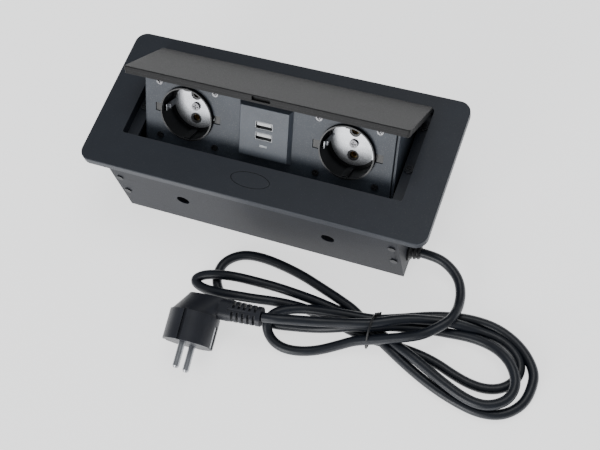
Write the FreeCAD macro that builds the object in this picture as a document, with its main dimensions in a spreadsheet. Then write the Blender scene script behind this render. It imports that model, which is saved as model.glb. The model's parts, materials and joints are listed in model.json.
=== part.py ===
import FreeCAD, Part
import math
import os
import re

import Sketcher
from FreeCAD import Placement, Rotation, Vector

# Desk power strip: a flange frame that drops into a desk cut-out, a steel casing under it, and a
# sprung cradle that tilts up out of it with two earthed sockets and a twin charging port.
# Millimetres.  +X runs along the length, +Y to the rear, +Z up; the origin is under the middle
# of the casing, on the surface that the casing stands on.  The cradle is drawn closed, flush
# with the flange, and then turned about its pivot to the open position, which is the rest pose.

DIMENSIONS = {
    # flange frame and its opening
    "flange_length": 266.0,
    "flange_width": 116.0,
    "flange_thickness": 6.0,
    "flange_corner": 9.0,
    "flange_top": 70.0,
    "opening_half": 108.2,
    "opening_front": 29.5,
    "opening_rear": 46.5,
    "ledge_inner": 99.5,
    "ledge_drop": 8.0,
    "ledge_thickness": 2.5,
    "ledge_screw_x": 103.7,
    "ledge_screw_front": 1.0,
    "ledge_screw_rear": 34.5,
    "ramp_half": 94.4,
    "ramp_front": 31.0,
    # casing
    "casing_length": 224.8,
    "casing_width": 109.4,
    "sheet": 1.5,
    "fixing_hole_x": 57.7,
    "fixing_hole_z": 33.0,
    "fixing_hole_radius": 5.0,
    "rivet_x": 107.0,
    "rivet_low": 25.0,
    "rivet_high": 45.0,
    "rivet_radius": 1.6,
    # cradle
    "pivot_y": 42.0,
    "pivot_z": 49.5,
    "pin_radius": 2.5,
    "open_angle": 41.0,
    "lid_half": 107.2,
    "lid_front": 28.8,
    "lid_rear": 30.1,
    "cover_thickness": 3.0,
    "carrier_thickness": 2.5,
    "visor": 12.4,
    "panel_lean": 7.0,
    "panel_half": 95.2,
    "panel_height": 57.0,
    "panel_thickness": 2.0,
    "side_thickness": 2.0,
    # socket inserts, in the panel's own frame
    "socket_x": 61.8,
    "socket_y": 25.3,
    "rim_radius": 20.6,
    "well_radius": 19.6,
    "rim_height": 3.0,
    "well_depth": 17.5,
    "floor_thickness": 2.0,
    "pin_pitch": 19.0,
    "contact_radius": 2.8,
    "contact_bore": 2.45,
    "screw_pitch": 44.4,
    "screw_upper": 21.0,
    "screw_lower": 22.2,
    "ear_half": 25.9,
    "ear_height": 6.4,
    # charging module, in the panel's own frame
    "usb_width": 41.0,
    "usb_height": 42.5,
    "usb_face_width": 37.0,
    "usb_face_height": 38.8,
    "usb_proud": 4.0,
    "port_width": 13.2,
    "port_height": 5.8,
    "port_upper": 6.1,
    "port_lower": -2.4,
    # release button and latch
    "button_y": 42.0,
    "button_major": 14.5,
    "button_minor": 5.8,
    "button_gap": 0.45,
    "latch_half": 6.0,
    # mains lead
    "cord_radius": 3.6,
    "lead_y": 38.0,
    "lead_z": 12.0,
    "relief_end": 121.0,
    "hank_height": 14.6,
    "hank_ridge": 21.6,
    # plug, in its own frame
    "plug_radius": 18.4,
    "plug_rim": 22.0,
    "neck_back": 29.6,
    "neck_half": 2.1,
    "sleeve_start": 25.0,
    "sleeve_length": 24.5,
    "plug_pin_radius": 2.4,
    "plug_pin_length": 19.0,
}

doc = FreeCAD.newDocument("desk_power_strip")
nodes = {}


def fill_sheet():
    """The driving dimensions, one alias each."""
    sheet = doc.addObject("Spreadsheet::Sheet", "dim")
    for row, (alias, value) in enumerate(DIMENSIONS.items(), start=1):
        sheet.set(f"A{row}", alias)
        sheet.set(f"B{row}", str(value))
        sheet.setAlias(f"B{row}", alias)
    doc.recompute()
    return {alias: float(sheet.get(alias)) for alias in DIMENSIONS}


size = fill_sheet()


def linked(value):
    """The expression for a value, with every dimension read from the sheet."""
    def word(match):
        return "dim." + match.group() if match.group() in DIMENSIONS else match.group()
    return re.sub(r"[a-z]\w*", word, str(value))


def node(name, shape, placement=None):
    """Name a finished sub-part; its label is the name of its file."""
    shape.Label = name
    if placement is not None:
        shape.Placement = placement
    nodes[name] = shape
    return shape


def place(shape, corner):
    """Bind the three coordinates of a primitive's placement."""
    for axis, value in zip("xyz", corner):
        shape.setExpression(f"Placement.Base.{axis}", linked(value))


def box(low, high):
    """A block between two opposite corners."""
    block = doc.addObject("Part::Box", "Block")
    for name, start, end in zip(("Length", "Width", "Height"), low, high):
        block.setExpression(name, linked(f"({end}) - ({start})"))
    place(block, low)
    return block


TURNS = {
    "x": Rotation(Vector(0, 1, 0), 90),
    "y": Rotation(Vector(1, 0, 0), -90),
    "z": Rotation(),
}


def rod(base, axis, radius, length):
    """A round bar from the middle of its first face along +X, +Y or +Z."""
    bar = doc.addObject("Part::Cylinder", "Rod")
    bar.Placement = Placement(Vector(), TURNS[axis])
    bar.setExpression("Radius", linked(radius))
    bar.setExpression("Height", linked(length))
    place(bar, base)
    return bar


def cone(base, axis, radius, end_radius, length):
    """A tapered round bar along +X, +Y or +Z."""
    bar = doc.addObject("Part::Cone", "Taper")
    bar.Placement = Placement(Vector(), TURNS[axis])
    bar.setExpression("Radius1", linked(radius))
    bar.setExpression("Radius2", linked(end_radius))
    bar.setExpression("Height", linked(length))
    place(bar, base)
    return bar


def oval(base, major, minor, height):
    """An elliptical column standing on its base point."""
    edge = doc.addObject("Part::Ellipse", "OvalEdge")
    edge.setExpression("MajorRadius", linked(major))
    edge.setExpression("MinorRadius", linked(minor))
    place(edge, base)
    column = doc.addObject("Part::Extrusion", "Oval")
    column.Base = edge
    column.DirMode = "Custom"
    column.Dir = Vector(0, 0, 1)
    column.Solid = True
    column.setExpression("LengthFwd", linked(height))
    return column


def fuse(shapes):
    """One solid from touching or overlapping ones."""
    joined = doc.addObject("Part::MultiFuse", "Fusion")
    joined.Shapes = shapes
    joined.Refine = True
    return joined


def cut(base, tools):
    """The base without its tools."""
    result = doc.addObject("Part::Cut", "Cut")
    result.Base = base
    result.Tool = tools[0] if len(tools) == 1 else fuse(tools)
    result.Refine = True
    return result


def group(shapes):
    """Separate solids kept in one node."""
    bundle = doc.addObject("Part::Compound", "Group")
    bundle.Links = shapes
    return bundle


def origin_plane(body, role):
    """One of a body's own origin planes."""
    for feature in body.Origin.OriginFeatures:
        if feature.Role == role:
            return feature
    raise ValueError(role)


def sketch_on(body, role, offset):
    """An empty sketch on an origin plane, moved along the plane's normal."""
    sketch = body.newObject("Sketcher::SketchObject", "Profile")
    sketch.AttachmentSupport = [(origin_plane(body, role), "")]
    sketch.MapMode = "FlatFace"
    sketch.setExpression("AttachmentOffset.Base.z", linked(offset))
    return sketch


def draw_polygon(sketch, points):
    """A closed outline whose every corner is dimensioned from the sketch's origin."""
    count = len(points)
    start = [Vector(math.cos(2 * math.pi * i / count), math.sin(2 * math.pi * i / count), 0) * 40
             for i in range(count)]
    for i in range(count):
        sketch.addGeometry(Part.LineSegment(start[i], start[(i + 1) % count]), False)
    for i in range(count):
        sketch.addConstraint(Sketcher.Constraint("Coincident", i, 2, (i + 1) % count, 1))
    for i, (across, up) in enumerate(points):
        for kind, value in (("DistanceX", across), ("DistanceY", up)):
            coordinate = start[i].x if kind == "DistanceX" else start[i].y
            index = sketch.addConstraint(Sketcher.Constraint(kind, -1, 1, i, 1, coordinate))
            sketch.setExpression(f"Constraints[{index}]", linked(value))


def draw_rectangle(sketch, low, high):
    """An upright rectangle between two corners."""
    draw_polygon(sketch, [low, (high[0], low[1]), high, (low[0], high[1])])


def prism(role, points, offset, length):
    """A body padded from a polygon on an origin plane, along the plane's normal."""
    body = doc.addObject("PartDesign::Body", "Body")
    sketch = sketch_on(body, role, offset)
    draw_polygon(sketch, points)
    pad = body.newObject("PartDesign::Pad", "Pad")
    pad.Profile = sketch
    pad.setExpression("Length", linked(length))
    sketch.Visibility = False
    return body


def soften(body, radius, chosen):
    """Fillet the edges of a body that a test picks."""
    doc.recompute()
    base = body.Tip
    names = [f"Edge{i}" for i, edge in enumerate(base.Shape.Edges, start=1) if chosen(edge)]
    fillet = body.newObject("PartDesign::Fillet", "Round")
    fillet.Base = (base, names)
    fillet.setExpression("Radius", linked(radius))
    return body


def upright(edge):
    """Whether an edge is a straight one along Z."""
    first, last = edge.Vertexes[0].Point, edge.Vertexes[-1].Point
    return abs(first.x - last.x) < 0.01 and abs(first.y - last.y) < 0.01


def level_at(height):
    """A test for edges that lie in one level plane."""
    def test(edge):
        box_of = edge.BoundBox
        return abs(box_of.ZMin - height) < 0.01 and abs(box_of.ZMax - height) < 0.01
    return test


def coil_spring(radius, wire, pitch, turns, base, axis=Vector(0, 0, 1), leg=0.0):
    """A coil of round wire from its base point along an axis, with a straight tangent leg at each end."""
    coil = Part.makeHelix(pitch, turns * pitch, radius)
    slope = Vector(0, 2 * math.pi * radius, pitch).normalize()
    start = Vector(radius, 0, 0)
    edges = list(coil.Edges)
    if leg > 0:
        end = edges[-1].Vertexes[-1].Point
        leaving = Rotation(Vector(0, 0, 1), 360 * turns).multVec(slope)
        edges = ([Part.LineSegment(start - slope * leg, start).toShape()] + edges
                 + [Part.LineSegment(end, end + leaving * leg).toShape()])
        start = start - slope * leg
    ring = Part.Wire(Part.makeCircle(wire, start, slope))
    spring = Part.Wire(edges).makePipeShell([ring], True, True)
    spring.Placement = Placement(base, Rotation(Vector(0, 0, 1), axis))
    return spring


def feature(shape):
    """A sub-part whose shape is worked out here rather than by features."""
    holder = doc.addObject("Part::Feature", "Shape")
    holder.Shape = shape
    return holder


SIDES = {"left": -1, "right": 1}


def span(side, inner, outer):
    """The X range between two distances from the middle, on one side."""
    if side > 0:
        return inner, outer
    return f"-({outer})", f"-({inner})"


# ---------------------------------------------------------------- flange frame

def casing_groove():
    """A shallow groove round the casing, which leaves the flange's rim a face of its own."""
    low = "flange_top - flange_thickness"
    outer = box(("-casing_length/2 - 0.8", "-casing_width/2 - 0.8", low),
                ("casing_length/2 + 0.8", "casing_width/2 + 0.8", f"{low} + 0.5"))
    inner = box(("-casing_length/2 + 0.4", "-casing_width/2 + 0.4", low),
                ("casing_length/2 - 0.4", "casing_width/2 - 0.4", f"{low} + 0.5"))
    return cut(outer, [inner])


def flange_frame():
    """The visible frame, with a ledge at each end of its opening and a ramp at the rear."""
    low, high = "flange_top - flange_thickness", "flange_top"
    plate = prism("XY_Plane", [
        ("-flange_length/2", "-flange_width/2"), ("flange_length/2", "-flange_width/2"),
        ("flange_length/2", "flange_width/2"), ("-flange_length/2", "flange_width/2")],
        low, "flange_thickness")
    soften(plate, "flange_corner", upright)
    soften(plate, 1.0, level_at(size["flange_top"]))
    opening = prism("XY_Plane", [
        ("-opening_half", "-opening_front"), ("opening_half", "-opening_front"),
        ("opening_half", "opening_rear"), ("-opening_half", "opening_rear")],
        "flange_top - 12", 14)
    soften(opening, 2.0, upright)
    under = "flange_top - ledge_drop - ledge_thickness"
    ledges = []
    screw_holes = []
    for side in SIDES.values():
        near, far = span(side, "ledge_inner", "opening_half + 2")
        ledges.append(box((near, "-opening_front - 1.5", under),
                          (far, "opening_rear + 1.5", "flange_top - ledge_drop")))
        near, far = span(side, "opening_half", "opening_half + 2")
        ledges.append(box((near, "-opening_front - 1.5", under), (far, "opening_rear + 1.5", low)))
        for along in ("-ledge_screw_front", "ledge_screw_rear"):
            screw_holes.append(rod((f"{side}*ledge_screw_x", along, under), "z", 1.6, 4))
    ramp = prism("YZ_Plane", [
        ("ramp_front", "flange_top - 8.3"), ("opening_rear", "flange_top - 3.8"),
        ("opening_rear + 1.5", "flange_top - 3.8"), ("opening_rear + 1.5", "flange_top - 1.8"),
        ("opening_rear", "flange_top - 1.8"), ("ramp_front", "flange_top - 6.3")],
        "-ramp_half", "2*ramp_half")
    hole = oval((0, "-button_y", "flange_top - 10"), "button_major + button_gap",
                "button_minor + button_gap", 12)
    pocket = box(("-latch_half - 0.5", "-35.1", "flange_top - 8"),
                 ("latch_half + 0.5", "-opening_front + 1", "flange_top - 1.6"))
    blind = [rod((x, "-button_y", low), "z", 1.25, 4) for x in (-26, 26)]
    frame = cut(plate, [opening])
    tools = [hole, pocket, casing_groove()] + blind + screw_holes
    return node("flange_frame", cut(fuse([frame, ramp] + ledges), tools))


def ledge_screws():
    """Four domed screws that hold the frame's ledges to the end brackets."""
    screws = []
    for side in SIDES.values():
        for along in ("-ledge_screw_front", "ledge_screw_rear"):
            at = (f"{side}*ledge_screw_x", along, "flange_top - ledge_drop")
            head = cut(rod(at, "z", 3, 2), [box((f"{at[0]} - 2", f"{along} - 0.4", f"{at[2]} + 1"),
                                                (f"{at[0]} + 2", f"{along} + 0.4", f"{at[2]} + 3"))])
            shank = rod((at[0], at[1], "flange_top - ledge_drop - 7"), "z", 1.6, 7)
            screws.append(fuse([head, shank]))
    return node("ledge_screws", group(screws))


# ---------------------------------------------------------------- casing

def wall_holes(y_start, depth):
    """The tools for the fixing holes and rivet holes of one long wall."""
    tools = []
    for side in SIDES.values():
        tools.append(rod((f"{side}*fixing_hole_x", y_start, "fixing_hole_z"), "y",
                         "fixing_hole_radius", depth))
        for height in ("rivet_low", "rivet_high"):
            tools.append(rod((f"{side}*rivet_x", y_start, height), "y", "rivet_radius", depth))
    return tools


def casing_walls():
    """Four folded steel walls with an inward lip at the foot."""
    half_x, half_y = "casing_length/2", "casing_width/2"
    foot, top = "sheet", "flange_top - flange_thickness"
    outer = box((f"-{half_x}", f"-{half_y}", foot), (half_x, half_y, top))
    inner = box((f"-{half_x} + sheet", f"-{half_y} + sheet", "2*sheet"),
                (f"{half_x} - sheet", f"{half_y} - sheet", "flange_top"))
    mouth = box((f"-{half_x} + 9", f"-{half_y} + 9", 0), (f"{half_x} - 9", f"{half_y} - 9", 10))
    entry = rod((f"{half_x} - 3", "-lead_y", "lead_z"), "x", 6.5, 6)
    screws = [rod((f"{sx}*106", f"{sy}*48.5", 0), "z", 1.25, 5) for sx in (-1, 1) for sy in (-1, 1)]
    tools = [inner, mouth, entry] + screws
    tools += wall_holes(f"-{half_y} - 1", 4) + wall_holes(f"{half_y} - 3", 4)
    return node("casing_walls", cut(outer, tools))


def base_plate():
    """The flat steel bottom of the casing."""
    half_x, half_y = "casing_length/2", "casing_width/2"
    plate = box((f"-{half_x}", f"-{half_y}", 0), (half_x, half_y, "sheet"))
    sinks = [cone((f"{sx}*106", f"{sy}*48.5", 0), "z", 2.6, 1.25, "sheet")
             for sx in (-1, 1) for sy in (-1, 1)]
    return node("base_plate", cut(plate, sinks))


def base_screws():
    """Four countersunk screws, flush with the bottom."""
    screws = []
    for sx in (-1, 1):
        for sy in (-1, 1):
            head = cone((f"{sx}*106", f"{sy}*48.5", 0), "z", 2.6, 1.25, "sheet")
            shank = rod((f"{sx}*106", f"{sy}*48.5", "sheet"), "z", 1.25, 4)
            screws.append(fuse([head, shank]))
    return node("base_screws", group(screws))


def end_bracket(label, side):
    """A folded plate inside one end wall: it carries the ledge screws and the hinge pin."""
    low, high = 10, "flange_top - ledge_drop - ledge_thickness"
    inside = "casing_length/2 - sheet"
    depth = "casing_width/2 - sheet"
    near, far = span(side, f"{inside} - sheet", inside)
    plate = box((near, f"-({depth})", low), (far, depth, high))
    near_fold, far_fold = span(side, 101, inside)
    folds = [
        box((near_fold, f"-({depth})", low), (far_fold, f"-({depth}) + sheet", high)),
        box((near_fold, f"{depth} - sheet", low), (far_fold, depth, high)),
    ]
    near_tab, far_tab = span(side, "ledge_inner + 0.3", inside)
    tab = box((near_tab, -14, f"{high} - sheet"), (far_tab, 46, high))
    tools = [rod((near, "pivot_y", "pivot_z"), "x", "pin_radius", "sheet"),
             rod((near, "-lead_y", "lead_z"), "x", 8, "sheet"),
             box((near, "-lead_y - 8", low), (far, "-lead_y + 8", "lead_z"))]
    for along in ("-ledge_screw_front", "ledge_screw_rear"):
        tools.append(rod((f"{side}*ledge_screw_x", along, f"{high} - 4"), "z", 1.6, 5))
    for height in ("rivet_low", "rivet_high"):
        for start in (f"-({depth})", f"{depth} - sheet"):
            tools.append(rod((f"{side}*rivet_x", start, height), "y", "rivet_radius", "sheet"))
    return node(f"end_bracket_{label}", cut(fuse([plate, tab] + folds), tools))


def casing_rivets():
    """Eight rivets that hold the end brackets to the long walls."""
    rivets = []
    for side in SIDES.values():
        for height in ("rivet_low", "rivet_high"):
            for front in (True, False):
                outside = "-casing_width/2 - 0.9" if front else "casing_width/2"
                inside = "-casing_width/2" if front else "casing_width/2 - 2*sheet"
                x = f"{side}*rivet_x"
                head = rod((x, outside, height), "y", 2.6, 0.9)
                shank = rod((x, inside, height), "y", "rivet_radius", "2*sheet")
                rivets.append(fuse([head, shank]))
    return node("casing_rivets", group(rivets))


# ---------------------------------------------------------------- cradle hinge

def hinge_pins():
    """The two fixed pins that the cradle turns on, each with a shoulder and a clip groove."""
    pins = []
    for side in SIDES.values():
        near, _ = span(side, 93.2, "casing_length/2 - sheet")
        shoulder, _ = span(side, 97.6, 98.6)
        groove, _ = span(side, 94.4, 95.2)
        pin = rod((near, "pivot_y", "pivot_z"), "x", "pin_radius", "casing_length/2 - sheet - 93.2")
        collar = rod((shoulder, "pivot_y", "pivot_z"), "x", 4, 1)
        ring = cut(rod((groove, "pivot_y", "pivot_z"), "x", 4, 0.8),
                   [rod((groove, "pivot_y", "pivot_z"), "x", 2, 0.8)])
        pins.append(cut(fuse([pin, collar]), [ring]))
    return node("hinge_pins", group(pins))


def hinge_clips():
    """Spring clips that keep the cradle on its pins."""
    clips = []
    for side in SIDES.values():
        groove, _ = span(side, 94.4, 95.2)
        ring = rod((groove, "pivot_y", "pivot_z"), "x", 4.4, 0.8)
        bore = rod((groove, "pivot_y", "pivot_z"), "x", 2, 0.8)
        gap = box((f"{groove} - 1", "pivot_y", "pivot_z - 1.4"), (f"{groove} + 2", "pivot_y + 6", "pivot_z + 1.4"))
        clips.append(cut(ring, [bore, gap]))
    return node("hinge_clips", group(clips))


def torsion_spring(label, side):
    """A wound spring round one hinge pin, with two legs towards the front."""
    start = Vector(side * 99.6, size["pivot_y"], size["pivot_z"])
    spring = coil_spring(3.6, 0.6, 1.6, 4.5, start, Vector(side, 0, 0), 12)
    return node(f"torsion_spring_{label}", feature(spring))


# ---------------------------------------------------------------- cradle, drawn closed

def open_cradle():
    """The turn about the hinge that takes the closed cradle to its open position."""
    pivot = Vector(0, size["pivot_y"], size["pivot_z"])
    turn = Rotation(Vector(1, 0, 0), -size["open_angle"])
    return Placement(Vector(), turn, pivot)


def panel_frame():
    """The panel's own frame when open: X along it, Y up it, Z out of its face."""
    lean = Rotation(Vector(1, 0, 0), 90 + size["panel_lean"])
    underside = size["flange_top"] - size["cover_thickness"] - size["carrier_thickness"]
    top_edge = Vector(0, -size["lid_front"] + size["visor"], underside)
    return open_cradle().multiply(Placement(top_edge, lean))


OPEN = open_cradle()
ON_PANEL = panel_frame()
UNDERSIDE = "flange_top - cover_thickness - carrier_thickness"


def lid_slab(inset, low, high):
    """A rounded slab the size of the lid, drawn in from it by the inset."""
    slab = prism("XY_Plane", [
        (f"-lid_half + {inset}", f"-lid_front + {inset}"), (f"lid_half - {inset}", f"-lid_front + {inset}"),
        (f"lid_half - {inset}", f"lid_rear - {inset}"), (f"-lid_half + {inset}", f"lid_rear - {inset}")],
        low, f"{high} - ({low})")
    return soften(slab, 1.5, upright)


def lid_cover():
    """The top skin of the lid, with half of the latch slot in its front edge."""
    slab = lid_slab(0, "flange_top - cover_thickness", "flange_top")
    soften(slab, 0.8, level_at(size["flange_top"]))
    slot = box((-7, "-lid_front - 1", "flange_top - cover_thickness - 1"),
               (7, "-lid_front + 3", "flange_top - 0.9"))
    return node("lid_cover", cut(slab, [slot]), OPEN)


def lid_carrier():
    """The plate under the lid's skin that the panel and the end plates hang from."""
    slab = lid_slab(0.6, UNDERSIDE, "flange_top - cover_thickness")
    slot = box((-7, "-lid_front - 1", f"{UNDERSIDE} + 1.4"), (7, "-lid_front + 3", "flange_top"))
    return node("lid_carrier", cut(slab, [slot]), OPEN)


def cradle_side(label, side):
    """A steel end plate of the cradle, with an arm back to the hinge pin."""
    outline = [(-14.1, UNDERSIDE), (27, UNDERSIDE), (47.2, 52.5), (45, 44.3), (37, 43.8),
               (23.5, 36), (10.2, 9.6), (-7.5, 8.2)]
    near, _ = span(side, "panel_half + 0.2", "panel_half + 0.2 + side_thickness")
    plate = prism("YZ_Plane", outline, near, "side_thickness")
    soften(plate, 3, lambda edge: abs(edge.BoundBox.YLength) < 0.01 and edge.BoundBox.ZLength < 0.01
           and edge.CenterOfMass.y > 30)
    bore = rod((f"{near} - 1", "pivot_y", "pivot_z"), "x", "pin_radius + 0.05", "side_thickness + 2")
    return node(f"cradle_side_{label}", cut(plate, [bore]), OPEN)


def folded_strip(points, thickness):
    """The outline of a strip of sheet that follows the points, thickened to their left."""
    normals = []
    for start, end in zip(points, points[1:]):
        along = (Vector(*end, 0) - Vector(*start, 0)).normalize()
        normals.append(Vector(-along.y, along.x, 0))
    inner = []
    for i, point in enumerate(points):
        before = normals[max(i - 1, 0)]
        after = normals[min(i, len(normals) - 1)]
        mitre = (before + after).normalize()
        reach = thickness / mitre.dot(after)
        inner.append((point[0] + mitre.x * reach, point[1] + mitre.y * reach))
    return points + inner[::-1]


def cradle_back():
    """The folded rear and bottom cover behind the sockets."""
    fold = [(-7.2, 8.3), (9.5, 11.0), (19.5, 28), (22, 40), (22, size["flange_top"] - 5.5)]
    outline = folded_strip(fold, size["sheet"])
    return node("cradle_back", prism("YZ_Plane", outline, "-panel_half", "2*panel_half"), OPEN)


def socket_panel():
    """The face of the cradle, cut out for the sockets, the charging module and the screws."""
    plate = prism("XY_Plane", [
        ("-panel_half", "-panel_height"), ("panel_half", "-panel_height"),
        ("panel_half", -0.4), ("-panel_half", -0.4)], "-panel_thickness", "panel_thickness")
    tools = [box(("-usb_width/2 + 1.5", "-socket_y - usb_height/2 + 1.5", -5),
                 ("usb_width/2 - 1.5", "-socket_y + usb_height/2 - 1.5", 5))]
    for side in SIDES.values():
        middle = f"{side}*socket_x"
        tools.append(rod((middle, "-socket_y", -5), "z", "rim_radius + 0.15", 10))
        tools.append(box((f"{middle} - ear_half - 0.2", "-socket_y - ear_height/2 - 0.1", -5),
                         (f"{middle} + ear_half + 0.2", "-socket_y + ear_height/2 + 0.1", 5)))
    for x, y in panel_screw_places():
        tools.append(rod((x, y, -5), "z", 1.3, 10))
    return node("socket_panel", cut(plate, tools), ON_PANEL)


SCREW_HEIGHTS = ("-screw_lower", "screw_upper")


def panel_screw_places():
    """The four screws round each socket."""
    return [(f"{side}*socket_x + {sx}*screw_pitch/2", f"-socket_y + {height}")
            for side in SIDES.values() for sx in (-1, 1) for height in SCREW_HEIGHTS]


def panel_screws():
    """Eight pan-head screws with a cross slot, from the panel into the socket inserts."""
    screws = []
    for x, y in panel_screw_places():
        head = cut(rod((x, y, 0), "z", 2.4, 1.2),
                   [box((f"{x} - 1.6", f"{y} - 0.45", 0.3), (f"{x} + 1.6", f"{y} + 0.45", 2)),
                    box((f"{x} - 0.45", f"{y} - 1.6", 0.3), (f"{x} + 0.45", f"{y} + 1.6", 2))])
        screws.append(fuse([head, rod((x, y, -6), "z", 1.3, 6)]))
    return node("panel_screws", group(screws), ON_PANEL)


# ---------------------------------------------------------------- socket inserts

def socket_body(label, side):
    """A moulded socket insert: a round well with keys, pin holes and a contact block behind."""
    x, y = f"{side}*socket_x", "-socket_y"
    floor = "rim_height - well_depth"
    back = f"{floor} - floor_thickness"
    shell = rod((x, y, back), "z", "rim_radius", f"rim_height - ({back})")
    flange = box((f"{x} - 27", f"{y} - 23.8", "-panel_thickness - 2"),
                 (f"{x} + 27", f"{y} + 23.8", "-panel_thickness"))
    ears = box((f"{x} - ear_half", f"{y} - ear_height/2", -3), (f"{x} + ear_half", f"{y} + ear_height/2", -0.8))
    block = box((f"{x} - 18", f"{y} - 14", f"{back} - 11.5"), (f"{x} + 18", f"{y} + 14", back))
    well = rod((x, y, floor), "z", "well_radius", "well_depth + 1")
    tools = [well, rod((x, y, f"{back} - 4"), "z", 1.5, 12)]
    for sy in (-1, 1):
        pin_y = f"{y} + {sy}*pin_pitch/2"
        tools.append(rod((x, pin_y, f"{back} - 10.5"), "z", "contact_radius", 20))
    for height in SCREW_HEIGHTS:
        for sx in (-1, 1):
            tools.append(rod((f"{x} + {sx}*screw_pitch/2", f"{y} + {height}", -8), "z", 1.3, 8))
    for sx in (-1, 1):
        low, high = sorted((sx * 17.6, sx * 21))
        tools.append(box((f"{x} + {low}", f"{y} - 3", f"{floor} + 0.5"), (f"{x} + {high}", f"{y} + 3", -0.8)))
    keys = []
    for sy in (-1, 1):
        low, high = sorted((sy * 18.4, sy * 19.9))
        keys.append(box((f"{x} - 2.3", f"{y} + {low}", floor), (f"{x} + 2.3", f"{y} + {high}", "rim_height - 1")))
    body = cut(fuse([shell, flange, ears, block]), tools)
    return node(f"socket_body_{label}", fuse([body] + keys), ON_PANEL)


def earth_plate(label, side):
    """The stamped earth plate on the well's floor, with its two upright clips."""
    x, y = f"{side}*socket_x", "-socket_y"
    floor = "rim_height - well_depth"
    disc = rod((x, y, floor), "z", 17.2, 0.6)
    strip = box((f"{x} - 18.4", f"{y} - 2.6", floor), (f"{x} + 18.4", f"{y} + 2.6", f"{floor} + 0.6"))
    shapes = [disc, strip]
    for sx in (-1, 1):
        low, high = sorted((sx * 17.6, sx * 18.4))
        shapes.append(box((f"{x} + {low}", f"{y} - 2.6", floor), (f"{x} + {high}", f"{y} + 2.6", -1.5)))
        low, high = sorted((sx * 16.4, sx * 17.8))
        shapes.append(box((f"{x} + {low}", f"{y} - 1.6", -7.5), (f"{x} + {high}", f"{y} + 1.6", -5)))
    tools = [rod((x, f"{y} + {sy}*pin_pitch/2", f"{floor} - 1"), "z", 4.3, 3) for sy in (-1, 1)]
    tools.append(rod((x, y, f"{floor} - 1"), "z", 1.5, 3))
    return node(f"earth_plate_{label}", cut(fuse(shapes), tools), ON_PANEL)


def pin_contacts(label, side):
    """Two brass sleeves that grip the plug's pins."""
    x = f"{side}*socket_x"
    back = "rim_height - well_depth - floor_thickness"
    sleeves = []
    for sy in (-1, 1):
        at = (x, f"-socket_y + {sy}*pin_pitch/2", f"{back} - 10.5")
        sleeves.append(cut(rod(at, "z", "contact_radius", 10), [rod(at, "z", "contact_bore", 10)]))
    return node(f"pin_contacts_{label}", group(sleeves), ON_PANEL)


def socket_screws():
    """The bright centre screw of each socket."""
    floor = "rim_height - well_depth + 0.6"
    screws = []
    for side in SIDES.values():
        x = f"{side}*socket_x"
        head = cut(rod((x, "-socket_y", floor), "z", 3.1, 1.6),
                   [box((f"{x} - 2", "-socket_y - 0.4", f"{floor} + 0.8"), (f"{x} + 2", "-socket_y + 0.4", 0)),
                    box((f"{x} - 0.4", "-socket_y - 2", f"{floor} + 0.8"), (f"{x} + 0.4", "-socket_y + 2", 0))])
        screws.append(fuse([head, rod((x, "-socket_y", f"{floor} - 6.6"), "z", 1.5, 6.6)]))
    return node("socket_screws", group(screws), ON_PANEL)


def bus_wires():
    """Three wires that feed one socket from the other, behind the charging module."""
    wires = [rod(("-socket_x + 18", f"-socket_y + {up}", -22), "x", 1.3, "2*socket_x - 36")
             for up in (-6, 0, 6)]
    return node("bus_wires", group(wires), ON_PANEL)


# ---------------------------------------------------------------- charging module

def usb_port_tools(width, height, low, high):
    """Two blocks the size of the port mouths."""
    return [box((f"-({width})/2", f"-socket_y + {up} - ({height})/2", low),
                (f"({width})/2", f"-socket_y + {up} + ({height})/2", high))
            for up in ("port_upper", "port_lower")]


def usb_bezel():
    """The tapered front of the charging module and the box behind it."""
    body = doc.addObject("PartDesign::Body", "Body")
    outlines = []
    for offset, width, height in ((0, "usb_width", "usb_height"),
                                  ("usb_proud", "usb_face_width", "usb_face_height")):
        sketch = sketch_on(body, "XY_Plane", offset)
        draw_rectangle(sketch, (f"-{width}/2", f"-socket_y - {height}/2"),
                       (f"{width}/2", f"-socket_y + {height}/2"))
        outlines.append(sketch)
    loft = body.newObject("PartDesign::AdditiveLoft", "Taper")
    loft.Profile = outlines[0]
    loft.Sections = outlines[1:]
    loft.Ruled = True
    rear = box(("-usb_width/2 + 1.7", "-socket_y - usb_height/2 + 1.7", -14),
               ("usb_width/2 - 1.7", "-socket_y + usb_height/2 - 1.7", 0))
    hollow = box(("-usb_width/2 + 3.2", "-socket_y - usb_height/2 + 3.2", -15),
                 ("usb_width/2 - 3.2", "-socket_y + usb_height/2 - 3.2", 1.5))
    lens = box((-2.9, "-socket_y - 10.7", 0), (2.9, "-socket_y - 9.1", 5))
    tools = [hollow, lens] + usb_port_tools("port_width", "port_height", 0, 5)
    return node("usb_bezel", cut(fuse([body, rear]), tools), ON_PANEL)


def usb_port_shells():
    """Two pressed steel port shells."""
    outer = usb_port_tools("port_width", "port_height", -9.8, "usb_proud - 0.4")
    inner = usb_port_tools("port_width - 0.7", "port_height - 0.7", -9.4, "usb_proud")
    return node("usb_port_shells", group([cut(a, [b]) for a, b in zip(outer, inner)]), ON_PANEL)


def usb_tongues():
    """The plastic contact tongue of each port."""
    tongues = [box((-5.5, f"-socket_y + {up} - 0.2", -9.4), (5.5, f"-socket_y + {up} + 2", "usb_proud - 0.8"))
               for up in ("port_upper", "port_lower")]
    return node("usb_tongues", group(tongues), ON_PANEL)


def usb_lens():
    """The small clear lens of the charging light."""
    return node("usb_lens", cut(box((-2.9, "-socket_y - 10.7", 1.5), (2.9, "-socket_y - 9.1", "usb_proud - 0.2")),
                                [box((-2, "-socket_y - 10.2", 1.5), (2, "-socket_y - 9.6", 2.5))]), ON_PANEL)


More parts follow.
